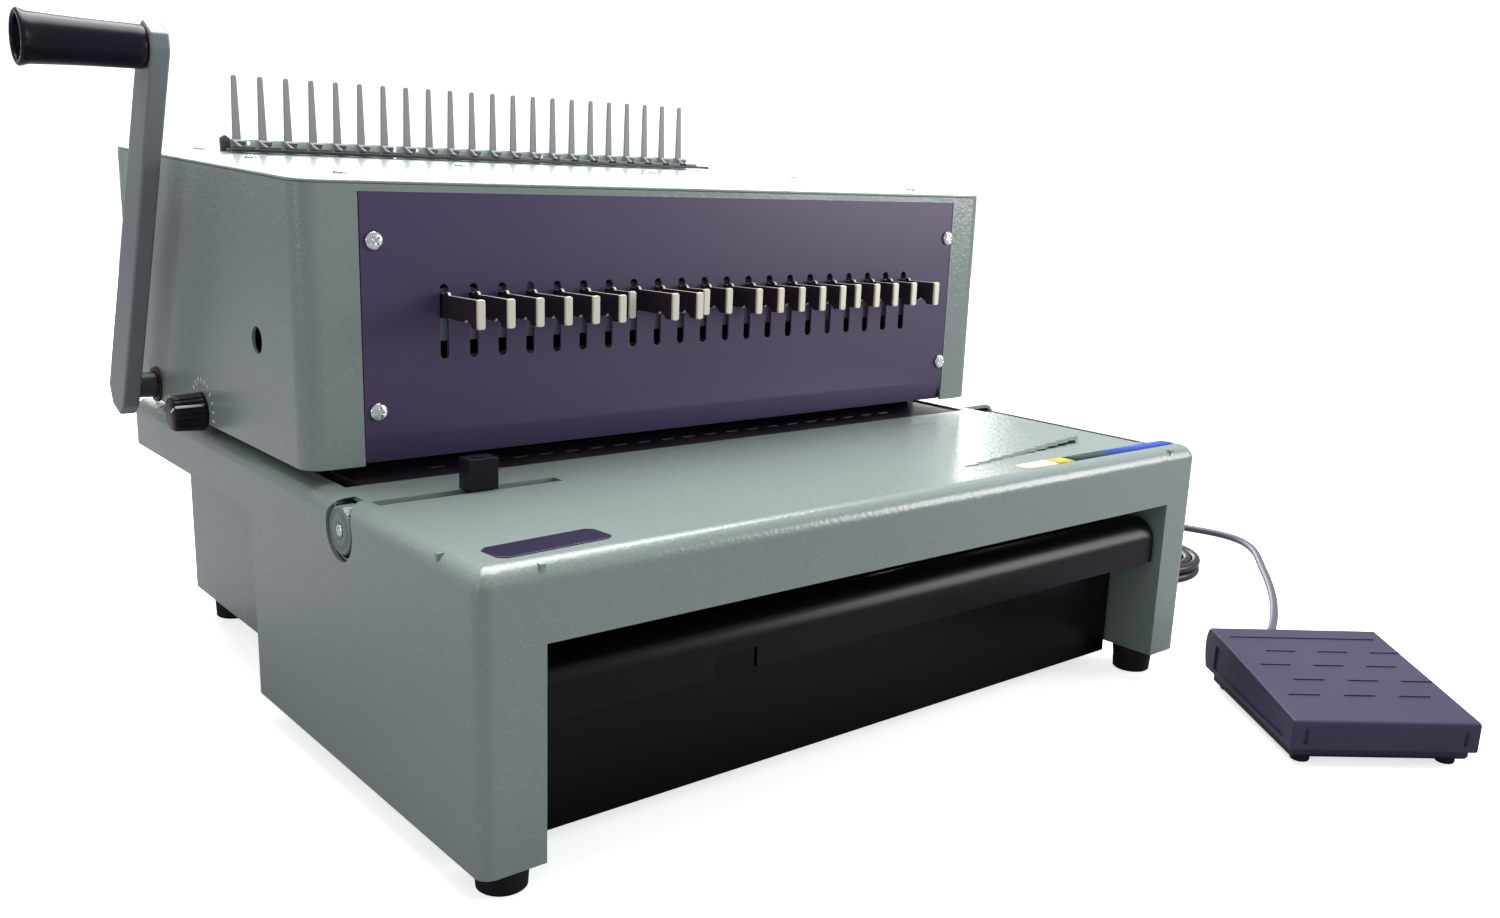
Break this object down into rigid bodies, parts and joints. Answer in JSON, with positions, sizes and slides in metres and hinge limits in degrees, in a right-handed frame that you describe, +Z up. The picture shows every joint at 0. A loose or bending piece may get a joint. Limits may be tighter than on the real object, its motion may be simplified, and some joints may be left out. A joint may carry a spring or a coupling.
{
  "type": "comb binding machine",
  "caption": "Electric comb punch and binder: slotted head with hooks and tines over a flat bed, side lever, chip tray and foot pedal.",
  "frame": {"origin": "on the floor, at the middle of the box around machine and foot pedal without their leads", "axes": "+X to the operator's right along the slot row, +Y to the back, +Z up"},
  "size_m": [0.7984, 0.5634, 0.3211],
  "materials": {
    "body_paint": "fine textured light grey-green enamel",
    "panel_paint": "dark grey-violet satin enamel",
    "lever_paint": "smooth light grey enamel",
    "black_plastic": "moulded black, fine grain",
    "tray_plastic": "near-black moulded",
    "pedal_paint": "blue-violet grey moulded",
    "rubber": "matt black",
    "lead_sheath": "satin grey-violet sheath",
    "mains_sheath": "satin black sheath",
    "tine_steel": "grey plated",
    "hook_steel": "bright zinc plated",
    "zinc_screw": "bright zinc plated",
    "badge": "dark gloss, no lettering",
    "colour_strip": "printed colour bands",
    "bronze": "sintered bronze",
    "board": "green circuit board",
    "wheel_metal": "turned face, knurled rim",
    "steel": "plain steel"
  },
  "bodies": {
    "base": {"badge_plate": "badge", "base_cover": "body_paint", "bottom_plate": "steel", "camshaft_bearings": "bronze", "control_board": "board", "cover_screws": "zinc_screw", "die_block": "steel", "frame_left": "steel", "frame_right": "steel", "front_panel": "panel_paint", "gear_motor": "steel", "head_cover": "body_paint", "lever_bushes": "bronze", "mains_gland": "black_plastic", "mains_lead": "mains_sheath", "mains_lead_coil": "mains_sheath", "mains_plug": "black_plastic", "motor_bracket": "steel", "panel_screws": "zinc_screw", "pedal_base": "pedal_paint", "pedal_feet": "rubber", "pedal_jack": "black_plastic", "pedal_lead_coil": "lead_sheath", "pedal_lead_on": "lead_sheath", "pedal_lead_out": "lead_sheath", "pedal_socket": "black_plastic", "pedal_switch": "black_plastic", "punch_guide": "steel", "rear_pedestal": "body_paint", "rubber_feet": "rubber", "size_colour_strip": "colour_strip", "size_ledge": "body_paint", "switch_frame": "black_plastic", "tie_bars": "steel", "tine_bar": "steel", "tines_left": "tine_steel", "tines_middle": "tine_steel", "tines_right": "tine_steel", "top_cover": "body_paint", "wheel_bracket": "steel"},
    "lever": {"lever_arm": "lever_paint", "lever_grip": "black_plastic", "lever_shaft": "steel"},
    "hook_carriage": {"front_hooks": "hook_steel", "hook_carrier": "steel"},
    "opener": {"opener_rail": "steel", "opener_hooks_left": "hook_steel", "opener_hooks_middle": "hook_steel", "opener_hooks_right": "hook_steel"},
    "size_knob": {"size_knob": "black_plastic"},
    "margin_wheel": {"margin_wheel": "wheel_metal"},
    "edge_guide": {"edge_guide": "black_plastic"},
    "chip_tray": {"chip_tray": "tray_plastic"},
    "camshaft": {"camshaft": "steel", "drive_gear": "steel"},
    "motor_pinion": {"motor_pinion": "steel"},
    "punch_bar": {"punch_bar": "steel", "punches": "steel"},
    "power_rocker": {"power_rocker": "black_plastic"},
    "pedal_tread": {"pedal_tread": "pedal_paint"}
  },
  "joints": [
    {"name": "lever_swing", "type": "hinge", "parent": "base", "child": "lever", "pos_m": [-0.2354, 0.22965, 0.1445], "axis": [1, 0, 0], "range_deg": [0, 42]},
    {"name": "hooks_drop", "type": "slide", "parent": "base", "child": "hook_carriage", "axis": [0, 0, -1], "range_m": [0, 0.0151]},
    {"name": "opener_slide", "type": "slide", "parent": "base", "child": "opener", "axis": [0, -1, 0], "range_m": [0, 0.0101]},
    {"name": "knob_turn", "type": "hinge", "parent": "base", "child": "size_knob", "pos_m": [-0.2284, 0.15635, 0.1418], "axis": [1, 0, 0], "range_deg": [-135, 135]},
    {"name": "wheel_turn", "type": "hinge", "parent": "base", "child": "margin_wheel", "pos_m": [-0.2144, -0.00235, 0.1182], "axis": [1, 0, 0], "range_deg": [-150, 150]},
    {"name": "guide_slide", "type": "slide", "parent": "base", "child": "edge_guide", "axis": [1, 0, 0], "range_m": [-0.036, 0.033]},
    {"name": "tray_slide", "type": "slide", "parent": "base", "child": "chip_tray", "axis": [0, -1, 0], "range_m": [0, 0.08]},
    {"name": "cam_turn", "type": "hinge", "parent": "base", "child": "camshaft", "pos_m": [-0.0134, 0.08665, 0.19], "axis": [1, 0, 0], "range_deg": [0, 180]},
    {"name": "pinion_turn", "type": "hinge", "parent": "base", "child": "motor_pinion", "pos_m": [0.1616, 0.13465, 0.19], "axis": [1, 0, 0], "range_deg": [-541, 1]},
    {"name": "punch_drop", "type": "slide", "parent": "base", "child": "punch_bar", "axis": [0, 0, -1], "range_m": [0, 0.0101]},
    {"name": "rocker_tilt", "type": "hinge", "parent": "base", "child": "power_rocker", "pos_m": [0.1896, 0.13265, 0.052], "axis": [0, 1, 0], "range_deg": [-8, 8]},
    {"name": "tread_press", "type": "hinge", "parent": "base", "child": "pedal_tread", "pos_m": [0.189, -0.25022, 0.011], "axis": [-0.7955, 0.606, 0], "range_deg": [0, 2.4], "stiffness_Nm_per_rad": 8, "springref_deg": -3.44}
  ],
  "couplings": [
    {"joint": "hooks_drop", "follows": "lever_swing", "m_per_rad": 0.0204},
    {"joint": "opener_slide", "follows": "lever_swing", "m_per_rad": 0.0136},
    {"joint": "pinion_turn", "follows": "cam_turn", "ratio": -3},
    {"joint": "punch_drop", "follows": "cam_turn", "m_per_rad": 0.00318}
  ]
}
